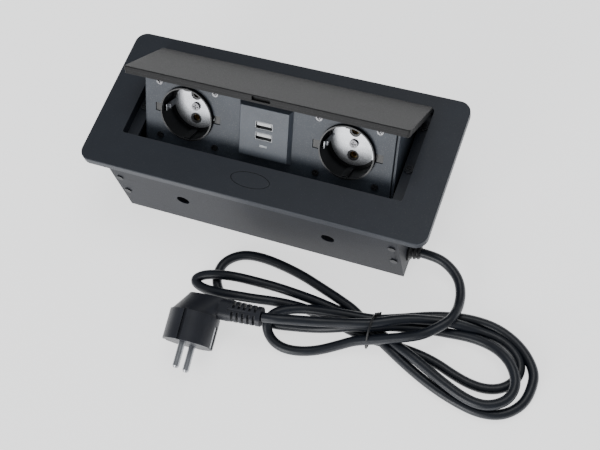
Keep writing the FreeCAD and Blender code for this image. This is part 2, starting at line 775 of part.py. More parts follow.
def usb_board():
    """The charger's circuit board with its coil and capacitor."""
    board = box(("-usb_width/2 + 3.3", "-socket_y - usb_height/2 + 3.3", -11.4),
                ("usb_width/2 - 3.3", "-socket_y + usb_height/2 - 3.3", -9.8))
    coil = box((-13, "-socket_y - 15", -20), (1, "-socket_y - 3", -11.4))
    capacitor = rod((9, "-socket_y - 9", -20), "z", 4, 8.6)
    return node("usb_board", fuse([board, coil, capacitor]), ON_PANEL)


# ---------------------------------------------------------------- release button and latch

def release_button():
    """The oval button: cap, retaining bar, and a slanting foot that drives the latch."""
    cap = oval((0, "-button_y", "flange_top - 7.6"), "button_major", "button_minor", 7.6)
    bar = box((-17, "-button_y - 4", "flange_top - 7.7"), (17, "-button_y + 4", "flange_top - 6.2"))
    stem = box((-3.5, "-button_y - 4", 58.3), (3.5, "-button_y + 4", "flange_top - 7"))
    foot = prism("YZ_Plane", [("-button_y - 3.7", 58.3), ("-button_y + 1.5", 58.3),
                              ("-button_y + 4.35", 52.6), ("-button_y - 0.85", 52.6)], -3.5, 7)
    return node("release_button", fuse([cap, bar, stem, foot]))


def button_springs():
    """Two coil springs that push the button up."""
    coils = [coil_spring(2.1, 0.4, 1.55, 6, Vector(x, -size["button_y"], 52.45)) for x in (-14.3, 14.3)]
    return node("button_springs", feature(Part.makeCompound(coils)))


def latch_slide():
    """The sliding latch: a plate with a slanting window and an upright with the nose."""
    plate = box((-9, -47.5, 52.1), (9, -31.2, 55))
    window = prism("YZ_Plane", [("-button_y - 0.7", 51.8), ("-button_y + 5", 51.8),
                                ("-button_y + 3.35", 55.1), ("-button_y - 2.35", 55.1)], -4, 8)
    upright_bar = box(("-latch_half", -33.3, 55), ("latch_half", -31.2, "flange_top - 2"))
    nose = prism("YZ_Plane", [(-31.2, "flange_top - 4"), (-29.1, "flange_top - 4"),
                              (-29.1, "flange_top - 3.4"), (-31.2, "flange_top - 2")],
                 "-latch_half", "2*latch_half")
    return node("latch_slide", fuse([cut(plate, [window]), upright_bar, nose]))


def latch_housing():
    """The moulded box under the front border that guides the button and the latch."""
    top = "flange_top - flange_thickness"
    shell = box((-22, -51.5, 46), (22, -31, top))
    ears = box((-31, -47, f"{top} - 2"), (31, -37, top))
    hollow = box((-20.3, -50, 52), (20.3, -30, "flange_top"))
    channel = box((-6, -50, 47.5), (6, -30, 53))
    holes = [rod((x, "-button_y", 60), "z", 1.6, 5) for x in (-26, 26)]
    return node("latch_housing", cut(fuse([shell, ears]), [hollow, channel] + holes))


def latch_screws():
    """Two screws from the latch housing up into the flange."""
    top = "flange_top - flange_thickness"
    screws = [fuse([rod((x, "-button_y", f"{top} - 3.6"), "z", 2.6, 1.6),
                    rod((x, "-button_y", f"{top} - 2"), "z", 1.25, 6)]) for x in (-26, 26)]
    return node("latch_screws", group(screws))


# ---------------------------------------------------------------- mains entry

def terminal_block():
    """The three-way terminal block on the base plate, in front of the cradle's path."""
    block = box((58, -45.5, "sheet"), (92, -28.5, 22))
    clamps = [rod((x, -38.2, 15), "z", 2.2, 8) for x in (64, 75, 86)]
    return node("terminal_block", cut(block, clamps))


def terminal_screws():
    """Three slotted clamping screws."""
    screws = [cut(rod((x, -38.2, 15), "z", 2.2, 6.4), [box((x - 2.5, -38.6, 20.6), (x + 2.5, -37.8, 22))])
              for x in (64, 75, 86)]
    return node("terminal_screws", group(screws))


def cord_gland():
    """The rubber bush in the end wall, tapering outwards as a strain relief."""
    wall = "casing_length/2"
    shapes = [
        rod((f"{wall} - 4.9", "-lead_y", "lead_z"), "x", 7.6, 1.7),
        rod((f"{wall} - 3.4", "-lead_y", "lead_z"), "x", 6.5, 3.6),
        rod((wall, "-lead_y", "lead_z"), "x", 8, 1.6),
        cone((f"{wall} + 1.6", "-lead_y", "lead_z"), "x", 6.6, 5, f"relief_end - {wall} - 1.6"),
    ]
    bore = rod((f"{wall} - 6", "-lead_y", "lead_z"), "x", "cord_radius", 60)
    rings = []
    for i in range(2):
        start = f"{wall} + {2.8 + 2.9 * i}"
        rings.append(cut(rod((start, "-lead_y", "lead_z"), "x", 8, 1.3),
                         [rod((start, "-lead_y", "lead_z"), "x", 4.8, 1.3)]))
    return node("cord_gland", cut(fuse(shapes), [bore] + rings))


def cord_clamp():
    """The saddle that grips the lead behind its gland, and its two screws."""
    saddle = cut(box((97, "-lead_y - 7.4", "sheet"), (103, "-lead_y + 7.4", "lead_z + cord_radius + 2")),
                 [rod((90, "-lead_y", "lead_z"), "x", "cord_radius", 20)])
    return node("cord_clamp", saddle)


def inner_lead():
    """The end of the mains lead, from the gland's tip in to the terminal block."""
    return node("inner_lead", rod((92, "-lead_y", "lead_z"), "x", "cord_radius", "relief_end - 92"))


# ---------------------------------------------------------------- mains lead outside

# The route of the lead from the gland's tip to the hank, where it isn't coiled.
LEAD_ROUTE = [
    (121.0, -38.0, 12.0),
    (132.5, -38.0, 12.0),
    (143.0, -41.6, 10.5),
    (152.0, -48.8, 9.5),
    (156.9, -58.8, 9.5),
    (158.4, -69.6, 11.0),
]

# The route from the hank's ridge up to the sleeve of the plug.
TAIL_ROUTE = [
    (70.2, -111.3, 18.5),
    (61.0, -114.3, 20.9),
    (50.5, -117.9, 24.6),
    (41.0, -121.2, 27.1),
    (32.0, -122.5, 26.9),
]


def rounded_path(route, share=0.45):
    """Straight runs joined by tangent arcs, and the radius of each arc."""
    points = [Vector(*point) for point in route]
    edges, radii = [], []
    start = points[0]
    for before, corner, after in zip(points, points[1:], points[2:]):
        into, out = corner - before, after - corner
        turn = into.getAngle(out)
        reach = share * min(into.Length, out.Length)
        radius = reach / math.tan(turn / 2)
        first = corner - into.normalize() * reach
        last = corner + out.normalize() * reach
        inward = (out - into).normalize()
        middle = corner + inward * (radius / math.cos(turn / 2) - radius)
        edges.append(Part.LineSegment(start, first).toShape())
        edges.append(Part.Arc(first, middle, last).toShape())
        radii.append(radius)
        start = last
    edges.append(Part.LineSegment(start, points[-1]).toShape())
    return Part.Wire(edges), radii


def cord_tube(name, route):
    """A free stretch of the mains lead, a plain tube along its route."""
    path, radii = rounded_path(route)
    radius = size["cord_radius"]
    start = Vector(*route[0])
    heading = Vector(*route[1]) - start
    ring = Part.Wire(Part.makeCircle(radius, start, heading))
    tube = path.makePipeShell([ring], True, False)
    print(name, "arc radii", [round(value, 1) for value in radii])
    print(name, "volume / section x length", round(tube.Volume / (math.pi * radius ** 2 * path.Length), 4))
    return node(name, feature(tube))


# The hank's outline on the bench: the right loop, the tied waist and the left loop beside the plug.
HANK_OUTLINE = [
    (150, -70.6), (186, -70.6), (201, -75.6), (214, -84.6), (223, -97), (225, -110), (222.6, -124),
    (214, -134), (204, -139.4), (191, -141), (176, -138.6), (146, -128.8), (120, -118.4), (104, -116.5),
    (84, -124.4), (61, -135.4), (50, -137.4), (38, -135), (29, -128), (26.5, -122.6), (3, -118.4),
    (-13, -113), (-27, -112.6), (-37.8, -108), (-38, -100), (-29, -93.8), (-25, -91), (-23.6, -81.6),
    (-16.5, -73), (-6, -68.2), (9, -67), (27, -69.2), (45, -72.8), (76, -82.6), (100, -92.4),
    (108, -92.4), (125, -82.8), (148, -73.6)]

# The strands that cross on top of the hank, from the lead's end to the start of the plug's tail.
RIDGE_OUTLINE = [
    (72, -114.6), (72, -106.8), (104, -97.6), (130, -85.2), (150, -78.5), (154, -72.5), (162.2, -72.5),
    (160.4, -86), (143, -103.2), (121, -110.8), (108, -114.7), (94, -109)]


def slab(outline, height):
    """A level slab on the bench, from its outline."""
    points = [Vector(x, y, 0) for x, y in outline]
    return feature(Part.Face(Part.makePolygon(points + points[:1])).extrude(Vector(0, 0, height)))


def cord_hank():
    """The tied hank as one closed solid of its outer shape, with its shoulders cut back for the tie."""
    lower, ridge = slab(HANK_OUTLINE, size["hank_height"]), slab(RIDGE_OUTLINE, size["hank_ridge"])
    shoulders = [box((100.5, -140, 11.5), (107.5, -113.4, 30)), box((100.5, -97.4, 12.5), (107.5, -70, 30))]
    return node("cord_hank", cut(fuse([lower, ridge]), shoulders))


def cord_tie():
    """The thin wire tie over the hank's waist, one bent strip."""
    strip = [(-118.2, 0.3), (-118.2, 12.4), (-114.3, 22.9), (-96.6, 22.9), (-90.6, 13.4), (-90.6, 0.3),
             (-91.6, 0.3), (-91.6, 13), (-97.1, 21.9), (-113.7, 21.9), (-117.2, 12), (-117.2, 0.3)]
    return node("cord_tie", prism("YZ_Plane", strip, 102.5, 3))


# ---------------------------------------------------------------- plug

PLUG_FACE = Vector(-15.6, -154.9, 18.5)


def plug_frame():
    """The plug's own frame: Z along its pins, X towards its cable; its origin is the front face's middle."""
    pins = Vector(0.075, -0.983, -0.165).normalize()
    cable = Vector(0.996, 0.064, 0.068)
    up = pins.cross(cable).normalize()
    cable = up.cross(pins)
    matrix = FreeCAD.Matrix(cable.x, up.x, pins.x, PLUG_FACE.x, cable.y, up.y, pins.y, PLUG_FACE.y,
                            cable.z, up.z, pins.z, PLUG_FACE.z, 0, 0, 0, 1)
    return Placement(matrix)


ON_PLUG = plug_frame()


def flat_oval_bar(start, radius, end_radius, length):
    """A bar of flattened oval section along the cable's direction, wide across the pins' direction."""
    half = "neck_half"
    sides = [cone((start, 0, f"-neck_back + {sz}*{half}"), "x", radius, end_radius, length) for sz in (-1, 1)]
    thin = min(radius, end_radius) - 0.1
    return sides + [box((start, -thin, f"-neck_back - {half}"), (f"{start} + {length}", thin, f"-neck_back + {half}"))]


def plug_cap():
    """The slanting back of the plug, from the round rim to the oval neck."""
    rim = doc.addObject("Part::Circle", "Rim")
    rim.setExpression("Radius", linked("plug_radius - 0.8"))
    place(rim, (0, 0, "-plug_rim"))
    back = doc.addObject("Part::Ellipse", "Back")
    back.MajorRadius = 15.2
    back.MinorRadius = 6.4
    place(back, (6.9, 0, "-neck_back - 7.4"))
    loft = doc.addObject("Part::Loft", "Cap")
    loft.Sections = [rim, back]
    loft.Solid = True
    return loft


def plug_body():
    """The moulded round body of the angled plug, with a neck towards the cable."""
    drum = rod((0, 0, "-plug_rim"), "z", "plug_radius", "plug_rim")
    neck = flat_oval_bar(4, 5.8, 5.8, 21)
    tools = [rod((0, f"{sy}*pin_pitch/2", -9), "z", "plug_pin_radius", 10) for sy in (-1, 1)]
    for side in (-1, 1):
        low, high = sorted((side * 16.4, side * 19))
        tools.append(box((-1.4, low, -23), (1.4, high, 1)))
        low, high = sorted((side * 16.7, side * 19))
        tools.append(box((low, -2.2, -16), (high, 2.2, 1)))
    return node("plug_body", cut(fuse([drum, plug_cap()] + neck), tools), ON_PLUG)


def plug_pins():
    """Two round pins with bevelled tips."""
    pins = []
    for sy in (-1, 1):
        y = f"{sy}*pin_pitch/2"
        pins.append(fuse([rod((0, y, -9), "z", "plug_pin_radius", "plug_pin_length + 7.5"),
                          cone((0, y, "plug_pin_length - 1.5"), "z", "plug_pin_radius", 1.5, 1.5)]))
    return node("plug_pins", group(pins), ON_PLUG)


def plug_earth_strips():
    """The two sprung earth contacts in the plug's rim, towards the cable and away from it."""
    strips = []
    for side in (-1, 1):
        low, high = sorted((side * 16.8, side * 17.7))
        strips.append(box((low, -1.9, -15.6), (high, 1.9, -0.4)))
    return node("plug_earth_strips", group(strips), ON_PLUG)


def plug_strain_relief():
    """The ribbed flexible sleeve between the plug and its cable."""
    sleeve = fuse(flat_oval_bar("sleeve_start", 5.6, 5.0, "sleeve_length"))
    slots = []
    for i in range(5):
        start = 28.0 + 4.1 * i
        for low, high in ((1.2, 9), (-9, -1.2)):
            slots.append(box((start, -9, f"-neck_back + {low}"), (start + 1.9, 9, f"-neck_back + {high}")))
    core = rod(("sleeve_start", 0, "-neck_back"), "x", 4.1, "sleeve_length")
    return node("plug_strain_relief", fuse([cut(sleeve, slots), core]), ON_PLUG)


# ---------------------------------------------------------------- build, check, write

def build():
    """Make every sub-part."""
    flange_frame()
    ledge_screws()
    casing_walls()
    base_plate()
    base_screws()
    casing_rivets()
    hinge_pins()
    hinge_clips()
    lid_cover()
    lid_carrier()
    cradle_back()
    socket_panel()
    panel_screws()
    for label, side in SIDES.items():
        end_bracket(label, side)
        torsion_spring(label, side)
        cradle_side(label, side)
        socket_body(label, side)
        earth_plate(label, side)
        pin_contacts(label, side)
    socket_screws()
    bus_wires()
    usb_bezel()
    usb_port_shells()
    usb_tongues()
    usb_lens()
    usb_board()
    release_button()
    button_springs()
    latch_slide()
    latch_housing()
    latch_screws()
    terminal_block()
    terminal_screws()
    cord_gland()
    cord_clamp()
    inner_lead()
    cord_tube("power_cord_lead", LEAD_ROUTE)
    cord_tube("power_cord_tail", TAIL_ROUTE)
    cord_hank()
    cord_tie()
    plug_body()
    plug_pins()
    plug_earth_strips()
    plug_strain_relief()


def check():
    """Stop on any failed feature or bad shape."""
    for item in doc.Objects:
        if "Invalid" in item.State or "Error" in item.State:
            raise RuntimeError(f"{item.Name} ({item.Label}) failed: {item.State}")
    for name, item in nodes.items():
        if item.Shape.isNull() or not item.Shape.isValid() or not item.Shape.Solids:
            raise RuntimeError(f"{name} has a bad shape")


def write():
    """One STEP file for each sub-part."""
    os.makedirs("parts", exist_ok=True)
    for name, item in nodes.items():
        item.Shape.exportStep(f"parts/{name}.step")


build()
doc.recompute()
check()
write()
print(len(nodes), "nodes written")
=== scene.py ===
import bpy
import json
import math
from mathutils import Matrix, Vector


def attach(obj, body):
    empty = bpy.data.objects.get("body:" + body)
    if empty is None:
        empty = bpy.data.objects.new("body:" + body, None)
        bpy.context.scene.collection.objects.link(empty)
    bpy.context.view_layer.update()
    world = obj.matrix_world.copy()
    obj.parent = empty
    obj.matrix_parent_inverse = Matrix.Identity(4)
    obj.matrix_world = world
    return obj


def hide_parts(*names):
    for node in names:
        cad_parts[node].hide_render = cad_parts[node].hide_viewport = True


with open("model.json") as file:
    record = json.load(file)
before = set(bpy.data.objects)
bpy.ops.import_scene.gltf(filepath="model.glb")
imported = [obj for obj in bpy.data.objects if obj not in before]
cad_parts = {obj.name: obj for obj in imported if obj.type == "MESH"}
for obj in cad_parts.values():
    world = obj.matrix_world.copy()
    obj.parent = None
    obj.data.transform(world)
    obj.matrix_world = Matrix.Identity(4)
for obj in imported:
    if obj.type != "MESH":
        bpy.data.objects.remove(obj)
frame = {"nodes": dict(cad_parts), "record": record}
MM = 0.001
scene = bpy.context.scene


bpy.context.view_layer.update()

# ---------------------------------------------------------------- camera


def make_camera():
    """The camera, at the height and side that the object is seen from."""
    data = bpy.data.cameras.new("camera")
    data.sensor_width = 36.0
    data.lens = 62.87
    data.clip_start = 0.05
    data.clip_end = 20.0
    camera = bpy.data.objects.new("camera", data)
    scene.collection.objects.link(camera)
    right = Vector((0.92621, 0.34245, -0.15767))
    up = Vector((-0.24436, 0.86378, 0.44065))
    back = Vector((0.28709, -0.36961, 0.88372))
    turn = Matrix((right, up, back)).transposed().to_4x4()
    camera.matrix_world = Matrix.Translation((0.2522, -0.3299, 0.7025)) @ turn
    scene.camera = camera


make_camera()

# ---------------------------------------------------------------- materials


def node_of(material, kind, **values):
    """A new shader node with its inputs set by name."""
    made = material.node_tree.nodes.new(kind)
    for name, value in values.items():
        made.inputs[name.replace("_", " ")].default_value = value
    return made


def noise(material, size, detail=2.0, stretch=(1.0, 1.0, 1.0)):
    """A noise pattern whose features are about as large as the given size in millimetres."""
    links = material.node_tree.links
    place = material.node_tree.nodes.new("ShaderNodeTexCoord")
    mapping = material.node_tree.nodes.new("ShaderNodeMapping")
    mapping.inputs["Scale"].default_value = stretch
    pattern = node_of(material, "ShaderNodeTexNoise", Scale=1000.0 / size, Detail=detail)
    links.new(place.outputs["Object"], mapping.inputs["Vector"])
    links.new(mapping.outputs["Vector"], pattern.inputs["Vector"])
    return pattern.outputs["Fac"]


def spread(material, factor, low, high, start, end):
    """A factor between two levels, spread over a new range."""
    made = material.node_tree.nodes.new("ShaderNodeMapRange")
    made.inputs["From Min"].default_value = low
    made.inputs["From Max"].default_value = high
    made.inputs["To Min"].default_value = start
    made.inputs["To Max"].default_value = end
    material.node_tree.links.new(factor, made.inputs["Value"])
    return made.outputs["Result"]


def mix(material, factor, first, second):
    """Two colours mixed by a factor; each is a colour or another node's output."""
    made = material.node_tree.nodes.new("ShaderNodeMix")
    made.data_type = "RGBA"
    links = material.node_tree.links
    links.new(factor, made.inputs["Factor"])
    for value, name in ((first, "A"), (second, "B")):
        entry = [item for item in made.inputs if item.name == name and item.type == "RGBA"][0]
        if isinstance(value, tuple):
            entry.default_value = (*value, 1.0)
        else:
            links.new(value, entry)
    return [item for item in made.outputs if item.type == "RGBA"][0]


def edge_highlight_mask(material, radius):
    """High along sharp edges, where a lighter colour is laid on as a painted highlight."""
    links = material.node_tree.links
    rounded = material.node_tree.nodes.new("ShaderNodeBevel")
    rounded.samples = 4
    rounded.inputs["Radius"].default_value = radius * MM
    surface = material.node_tree.nodes.new("ShaderNodeNewGeometry")
    product = material.node_tree.nodes.new("ShaderNodeVectorMath")
    product.operation = "DOT_PRODUCT"
    links.new(rounded.outputs["Normal"], product.inputs[0])
    links.new(surface.outputs["Normal"], product.inputs[1])
    return spread(material, product.outputs["Value"], 0.995, 0.85, 0.0, 1.0)


def shade(factor, colour):
    """A colour made lighter or darker."""
    return tuple(min(1.0, part * factor) for part in colour)


# How softly a speck's rim fades, as a share of the noise's range.
SPECK_BLUR = 0.04
# How far the fine grain moves the roughness either way.
GLOSS_RANGE = 0.06


def finish(name, colour, roughness, metallic=0.0, mottle=0.12, mottle_size=14.0, speck=None,
           speck_size=0.9, speck_share=0.36, grain_size=0.6, grain_depth=0.03, edge_highlight=None,
           edge_highlight_radius=0.5, stretch=(1.0, 1.0, 1.0), specular=0.5, coat=0.0):
    """A surface with broad mottling, fine specks, a grain in its gloss, and a painted highlight
    along its sharp edges.
    """
    material = bpy.data.materials.new(name)
    material.use_nodes = True
    shader = material.node_tree.nodes["Principled BSDF"]
    shader.inputs["Metallic"].default_value = metallic
    shader.inputs["Specular IOR Level"].default_value = specular
    shader.inputs["Coat Weight"].default_value = coat
    shader.inputs["Coat Roughness"].default_value = 0.25
    links = material.node_tree.links
    broad = noise(material, mottle_size, 4.0, stretch)
    paint = mix(material, spread(material, broad, 0.3, 0.7, 0.0, 1.0),
                shade(1.0 - mottle, colour), shade(1.0 + mottle, colour))
    if speck is not None:
        dots = noise(material, speck_size, 1.0)
        level = 1.0 - speck_share
        paint = mix(material, spread(material, dots, level, level + SPECK_BLUR, 0.0, 1.0),
                    paint, speck)
    # Sharp edges are mixed towards a lighter colour: a painted highlight.
    if edge_highlight is not None:
        paint = mix(material, edge_highlight_mask(material, edge_highlight_radius), paint, edge_highlight)
    links.new(paint, shader.inputs["Base Color"])
    fine = noise(material, grain_size, 3.0, stretch)
    gloss = spread(material, fine, 0.3, 0.7, roughness - GLOSS_RANGE, roughness + GLOSS_RANGE)
    links.new(gloss, shader.inputs["Roughness"])
    bump = material.node_tree.nodes.new("ShaderNodeBump")
    bump.inputs["Strength"].default_value = 0.6
    bump.inputs["Distance"].default_value = grain_depth * MM
    links.new(fine, bump.inputs["Height"])
    links.new(bump.outputs["Normal"], shader.inputs["Normal"])
    return material


def clear_lens(name):
    """The clear indicator window, with a faint blue tint and slight mottling."""
    material = finish(name, (0.8, 0.88, 0.95), 0.12, mottle=0.05, mottle_size=2.0, grain_depth=0.01)
    shader = material.node_tree.nodes["Principled BSDF"]
    shader.inputs["Transmission Weight"].default_value = 0.6
    shader.inputs["IOR"].default_value = 1.46
    return material


# One finish for each material slot of the record.
# Each edge colour, lighter than the surface colour, is a painted highlight along sharp edges.
FINISHES = {
    "flange_black": dict(colour=(0.021, 0.026, 0.037), roughness=0.5, mottle=0.06,
                         speck=(0.04, 0.042, 0.05), speck_share=0.33, edge_highlight=(0.055, 0.06, 0.07)),
    "lid_grey": dict(colour=(0.015, 0.015, 0.016), roughness=0.52, mottle=0.08,
                     speck=(0.035, 0.035, 0.035), speck_share=0.35, edge_highlight=(0.05, 0.05, 0.053),
                     specular=0.3),
    "casing_steel": dict(colour=(0.006, 0.008, 0.0145), roughness=0.54, speck=(0.015, 0.019, 0.029),
                         speck_share=0.35, edge_highlight=(0.04, 0.042, 0.05), specular=0.35),
    "bracket_steel": dict(colour=(0.035, 0.036, 0.04), roughness=0.5, edge_highlight=(0.1, 0.1, 0.11)),
    "panel_grey": dict(colour=(0.054, 0.066, 0.086), roughness=0.46, speck=(0.095, 0.107, 0.123),
                       speck_size=0.7, speck_share=0.4, edge_highlight=(0.12, 0.13, 0.145)),
    # The socket's much lighter edge colour paints the bright highlight on its well's rim.
    "socket_black": dict(colour=(0.008, 0.0085, 0.0095), roughness=0.34, grain_depth=0.01,
                         edge_highlight=(0.12, 0.125, 0.135), edge_highlight_radius=0.3),
    "bright_steel": dict(colour=(0.38, 0.39, 0.41), roughness=0.3, metallic=1.0, mottle=0.08,
                         grain_depth=0.01, stretch=(1.0, 6.0, 6.0)),
    "screw_steel": dict(colour=(0.2, 0.2, 0.21), roughness=0.38, metallic=1.0, mottle=0.15,
                        mottle_size=1.5, grain_depth=0.01),
    # The screws' lighter edge colour paints their small highlight.
    "screw_black": dict(colour=(0.02, 0.022, 0.027), roughness=0.42, metallic=0.4, mottle=0.2,
                        mottle_size=1.5, edge_highlight=(0.14, 0.14, 0.15)),
    "brass": dict(colour=(0.72, 0.52, 0.22), roughness=0.3, metallic=1.0, mottle=0.15,
                  mottle_size=3.0),
    "usb_grey": dict(colour=(0.082, 0.097, 0.122), roughness=0.42, speck=(0.11, 0.123, 0.14),
                     speck_size=0.7, speck_share=0.4, edge_highlight=(0.16, 0.17, 0.19)),
    "port_steel": dict(colour=(0.3, 0.31, 0.32), roughness=0.35, metallic=1.0, mottle=0.1,
                       mottle_size=2.0, grain_depth=0.01),
    "tongue_white": dict(colour=(0.8, 0.81, 0.82), roughness=0.35, mottle=0.05, mottle_size=1.0),
    "board_green": dict(colour=(0.02, 0.14, 0.06), roughness=0.35, speck=(0.5, 0.5, 0.45),
                        speck_size=1.6, speck_share=0.3, mottle_size=4.0),
    "wire_black": dict(colour=(0.013, 0.013, 0.015), roughness=0.42, mottle=0.2, mottle_size=5.0),
    "button_black": dict(colour=(0.021, 0.026, 0.037), roughness=0.48, mottle=0.06,
                         speck=(0.038, 0.04, 0.048), speck_share=0.33, edge_highlight=(0.045, 0.05, 0.06)),
    "latch_grey": dict(colour=(0.04, 0.04, 0.044), roughness=0.45, mottle=0.1, mottle_size=6.0),
    "terminal_cream": dict(colour=(0.6, 0.57, 0.48), roughness=0.4, mottle=0.05, mottle_size=6.0,
                           edge_highlight=(0.68, 0.66, 0.58)),
    "cord_black": dict(colour=(0.006, 0.009, 0.016), roughness=0.4, mottle=0.2, mottle_size=9.0,
                       grain_size=0.8, grain_depth=0.04, coat=0.06),
    "plug_black": dict(colour=(0.015, 0.017, 0.025), roughness=0.45, mottle=0.15, mottle_size=8.0,
                       grain_size=0.5, grain_depth=0.05, edge_highlight=(0.05, 0.052, 0.06)),
    "tie_black": dict(colour=(0.015, 0.015, 0.017), roughness=0.4, mottle=0.2, mottle_size=2.0),
}


def make_materials():
    """Every slot's material."""
    made = {name: finish(name + "_finish", **values) for name, values in FINISHES.items()}
    made["clear"] = clear_lens("clear_finish")
    return made


MATERIALS = make_materials()

# ---------------------------------------------------------------- mains cord

CORD_DIAMETER = 7.2
# The route from the gland's tip to the hank, as in the part's source.
LEAD_ROUTE = [
    (121, -38, 12), (132.5, -38, 12), (143, -41.6, 10.5), (152, -48.8, 9.5), (156.9, -58.8, 9.5),
    (158.4, -69.6, 11),
]
# The hank, turn by turn: through the tied waist to one side and back.
HANK_ROUTE = [
    # over the right turns and down to the small lower left turn
    (158, -77.5, 15), (156, -84.5, 17), (149, -92.5, 17.6), (141, -99.5, 17), (131, -103.5, 15),
    (120, -107, 13), (108, -111, 11), (96, -114.5, 9), (85, -120.5, 6), (73, -127, 3.8),
    (62, -131.5, 3.8), (50, -133.5, 3.8), (40, -131.5, 4), (33, -126, 6), (30.5, -119.5, 10.5),
    (34, -112.5, 12), (41, -107.5, 11.5), (51, -103.5, 10.8), (63, -101, 10.8), (76, -99, 10.8),
    (89, -97.5, 10.4), (104, -96, 10),
    # right turn, outermost
    (115, -91.5, 8), (126, -86.5, 6), (137, -81.5, 4.5), (149, -77.5, 4), (161, -75, 3.8),
    (173, -74, 3.8), (186, -75, 3.8), (199, -79.5, 3.8), (211, -87.5, 3.8), (220, -99, 3.8),
    (221, -109.5, 3.8), (219, -121.5, 3.8), (212, -130.5, 3.8), (203, -135.5, 3.8),
    (191, -137, 3.8), (178, -135, 3.8), (163, -131, 3.8), (147, -125, 3.8), (131, -117.5, 3.8),
    (116, -109.5, 3.8), (105, -104, 3.8),
    # left turn, outermost
    (90, -92, 3.8), (75, -86.5, 3.8), (59, -81.5, 3.8), (43, -76.5, 3.8), (26, -73, 3.8),
    (9, -71, 3.8), (-5, -72, 3.8), (-14, -76.5, 3.8), (-20, -83.5, 3.8), (-21, -92, 3.8),
    (-19, -99.5, 3.8), (-14, -106, 3.8), (-7, -110.5, 3.8), (4, -114.5, 3.8), (18, -118, 3.8),
    (34, -118.5, 3.8), (50, -115.5, 3.8), (65, -112.5, 4.5), (79, -109.5, 8.5), (91, -105.5, 11),
    (105, -102, 10.5),
    # right turn, second
    (117, -97, 10), (128, -94.5, 8), (137, -91.5, 5.5), (147, -89.5, 4.5), (157, -88.5, 4.5),
    (170, -87.5, 5.5), (182, -88.5, 6.5), (193, -92, 9), (203, -99, 11), (209, -107.5, 11),
    (211, -116.5, 11), (208, -125.5, 10.8), (199, -132, 10.8), (189, -133.5, 10.8),
    (177, -131, 10.8), (163, -125.5, 10.8), (148, -118.5, 10), (133, -112, 9.5), (117, -105, 4),
    (104, -100.5, 3.8),
    # left turn, second
    (90, -96.5, 3.8), (75, -94.5, 3.8), (59, -92.5, 4.5), (43, -91.5, 5), (27, -91, 6),
    (10, -92, 8), (-4, -93.5, 10.8), (-17, -95.5, 10.8), (-28, -98, 9), (-34, -102, 7.5),
    (-33, -105.5, 7), (-25, -108.5, 8.5), (-12, -109, 10.8), (2, -107.5, 10.8), (15, -105, 8),
    (30, -101.5, 5), (47, -100, 4), (63, -101, 3.8), (78, -104, 3.8), (92, -107, 3.8),
    (106, -108.5, 3.8),
    # right turn, innermost
    (118, -108, 3.8), (129, -108.5, 3.8), (142, -109.5, 3.8), (155, -112, 3.8),
    (168, -116.5, 3.8), (180, -119.5, 3.8), (191, -120, 3.8), (201, -117, 3.8),
    (208, -110.5, 3.8), (211, -101.5, 3.8), (208, -93, 3.8), (200, -86, 3.8), (190, -82, 3.8),
    (178, -81, 4), (166, -81.5, 7.5), (154, -82.5, 9.5), (142, -85.5, 11), (130, -89, 13.5),
    (118, -94.5, 15.5), (106, -101, 16.4), (94, -105, 17.6), (82, -108, 17.6),
]
# The route from the hank's ridge up to the plug's sleeve, as in the part's source.
TAIL_ROUTE = [
    (70.2, -111.3, 18.5), (61, -114.3, 20.9), (50.5, -117.9, 24.6), (41, -121.2, 27.1),
    (32, -122.5, 26.9),
]
CORD_ROUTE = LEAD_ROUTE + HANK_ROUTE + TAIL_ROUTE


def curve_object(name, points, radius, slot, cyclic=False):
    """A round bar of one smooth curve through millimetre points, in one slot's finish."""
    data = bpy.data.curves.new(name, "CURVE")
    data.materials.append(MATERIALS[slot])
    data.dimensions = "3D"
    data.bevel_depth = radius * MM
    data.bevel_resolution = 6
    data.resolution_u = 6
    data.use_fill_caps = not cyclic
    spline = data.splines.new("NURBS")
    spline.points.add(len(points) - 1)
    for point, (x, y, z) in zip(spline.points, points):
        point.co = (x * MM, y * MM, z * MM, 1.0)
    spline.order_u = 3
    spline.use_endpoint_u = not cyclic
    spline.use_cyclic_u = cyclic
    bar = bpy.data.objects.new(name, data)
    scene.collection.objects.link(bar)
    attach(bar, "casing")
    return bar


def make_cord():
    """The mains cord as one round-section curve."""
    cord = curve_object("mains_cord", CORD_ROUTE, CORD_DIAMETER / 2, "cord_black")
    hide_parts("power_cord_lead", "power_cord_tail", "cord_hank")


# The wire tie: its radius, that of each end, and the ends' twist round their common line.
TIE_RADIUS = 0.75
TIE_END_RADIUS = 0.7
TWIST_RADIUS = 0.75
TWIST_START = (105.6, -94.6, 17.6)
TWIST_STEP = (0.5, 0.25)
TWIST_POINTS = 8
TWIST_ANGLE = math.pi / 3


def make_tie():
    """The coated wire tie: a loop round the hank's waist, with its two ends twisted together."""
    loop = [(104.4, -116.4, 4), (104.6, -115.6, 10), (105, -111, 16.5), (105.2, -105, 20.6),
            (105.2, -98.5, 20), (104.9, -93.5, 14.5), (104.6, -91.6, 9), (104.4, -92.4, 3),
            (104.3, -98, 0.8), (104.2, -106, 0.8), (104.2, -112.5, 0.9)]
    tie = curve_object("cord_tie_loop", loop, TIE_RADIUS, "tie_black", cyclic=True)
    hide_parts("cord_tie")
    for side, phase in (("first", 0.0), ("second", math.pi)):
        points = []
        for i in range(TWIST_POINTS):
            turn = phase + i * TWIST_ANGLE
            points.append((TWIST_START[0] + TWIST_STEP[0] * i,
                           TWIST_START[1] + TWIST_STEP[1] * i + TWIST_RADIUS * math.cos(turn),
                           TWIST_START[2] + TWIST_RADIUS * math.sin(turn)))
        curve_object("cord_tie_" + side + "_end", points, TIE_END_RADIUS, "tie_black")


make_cord()
make_tie()

# ---------------------------------------------------------------- finishes


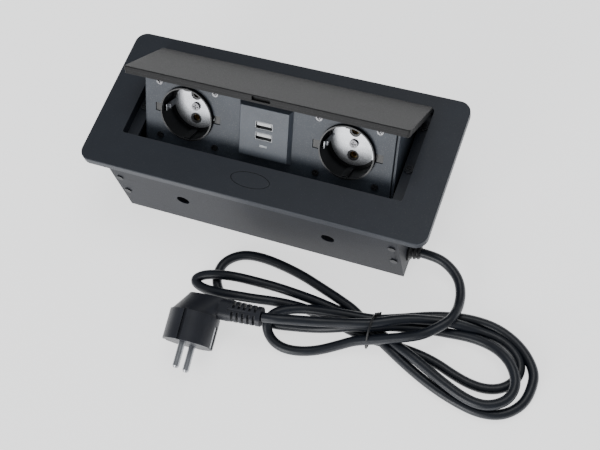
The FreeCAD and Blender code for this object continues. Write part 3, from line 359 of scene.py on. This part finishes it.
def dress(piece, material):
    """Give a piece one material on every face."""
    if not piece.material_slots:
        piece.data.materials.append(material)
    for slot in piece.material_slots:
        slot.link = "OBJECT"
        slot.material = material


for part in frame["record"]["subparts"]:
    dress(frame["nodes"][part["node"]], MATERIALS[part["material_slot"]])

# ---------------------------------------------------------------- rounded edges


# Edges that turn less than this are shaded smooth.
SMOOTH_ANGLE = math.radians(32)


def smoothing_nodes():
    """Geometry nodes that shade a mesh smooth except along its sharp edges."""
    group = bpy.data.node_groups.new("smooth_by_angle", "GeometryNodeTree")
    group.interface.new_socket("Geometry", in_out="INPUT", socket_type="NodeSocketGeometry")
    group.interface.new_socket("Geometry", in_out="OUTPUT", socket_type="NodeSocketGeometry")
    start, end = group.nodes.new("NodeGroupInput"), group.nodes.new("NodeGroupOutput")
    faces = group.nodes.new("GeometryNodeSetShadeSmooth")
    edges = group.nodes.new("GeometryNodeSetShadeSmooth")
    edges.domain = "EDGE"
    angle = group.nodes.new("GeometryNodeInputMeshEdgeAngle")
    gentle = group.nodes.new("FunctionNodeCompare")
    gentle.operation = "LESS_THAN"
    gentle.inputs[1].default_value = SMOOTH_ANGLE
    group.links.new(start.outputs[0], faces.inputs["Geometry"])
    group.links.new(faces.outputs[0], edges.inputs["Geometry"])
    group.links.new(angle.outputs["Unsigned Angle"], gentle.inputs[0])
    group.links.new(gentle.outputs[0], edges.inputs["Shade Smooth"])
    group.links.new(edges.outputs[0], end.inputs[0])
    return group


SMOOTHING = smoothing_nodes()
# Points nearer than this, in millimetres, are one point.
WELD_DISTANCE = 0.002
# Edges that turn more than this are rounded.
ROUND_ANGLE = math.radians(38)
# The radius of each moulded or folded edge, in millimetres.
EDGE_RADII = {
    "flange_frame": 0.4, "lid_cover": 0.5, "lid_carrier": 0.3, "casing_walls": 0.35,
    "socket_panel": 0.25, "usb_bezel": 0.3, "release_button": 0.15, "plug_body": 0.9,
    "plug_strain_relief": 0.35, "cord_gland": 0.3, "socket_body_left": 0.2,
    "socket_body_right": 0.2, "cradle_side_left": 0.25, "cradle_side_right": 0.25,
    "base_plate": 0.2, "cradle_back": 0.3, "terminal_block": 0.4,
}


def round_edges(piece, radius):
    """Small round edges that catch the light, as modifiers on the piece."""
    weld = piece.modifiers.new("weld", "WELD")
    weld.merge_threshold = WELD_DISTANCE * MM
    bevel = piece.modifiers.new("round", "BEVEL")
    bevel.width = radius * MM
    bevel.segments = 3
    bevel.limit_method = "ANGLE"
    bevel.angle_limit = ROUND_ANGLE
    bevel.use_clamp_overlap = True
    smooth = piece.modifiers.new("smooth", "NODES")
    smooth.node_group = SMOOTHING
    level = piece.modifiers.new("level", "WEIGHTED_NORMAL")
    level.mode = "FACE_AREA"
    level.keep_sharp = True


for name, radius in EDGE_RADII.items():
    round_edges(frame["nodes"][name], radius)

# ---------------------------------------------------------------- floor and light


def make_floor():
    """A plain pale floor."""
    bpy.ops.mesh.primitive_plane_add(size=6.0, location=(0, 0, 0))
    floor = bpy.context.object
    floor.name = "floor"
    material = bpy.data.materials.new("floor")
    material.use_nodes = True
    shader = material.node_tree.nodes["Principled BSDF"]
    shader.inputs["Base Color"].default_value = (0.93, 0.93, 0.93, 1.0)
    shader.inputs["Roughness"].default_value = 0.8
    shader.inputs["Specular IOR Level"].default_value = 0.2
    shader.inputs["Emission Color"].default_value = (1.0, 1.0, 1.0, 1.0)
    shader.inputs["Emission Strength"].default_value = 1.3
    floor.data.materials.append(material)


def area_light(name, place, target, size, power):
    """A soft lamp that faces a point."""
    data = bpy.data.lights.new(name, "AREA")
    data.shape = "DISK"
    data.size = size
    data.energy = power
    lamp = bpy.data.objects.new(name, data)
    lamp.location = place
    lamp.rotation_euler = (Vector(target) - Vector(place)).to_track_quat("-Z", "Y").to_euler()
    scene.collection.objects.link(lamp)


def make_light():
    """Soft studio light: a low front box, a weaker one above, and pale surroundings."""
    world = bpy.data.worlds.new("world")
    world.use_nodes = True
    background = world.node_tree.nodes["Background"]
    background.inputs["Color"].default_value = (0.94, 0.97, 1.0, 1.0)
    background.inputs["Strength"].default_value = 0.36
    scene.world = world
    area_light("front", (-0.5, -1.7, 0.55), (0, 0, 0.06), 1.1, 18)
    area_light("top", (0.2, 0.5, 1.7), (0, 0, 0), 1.0, 6)


make_floor()
make_light()
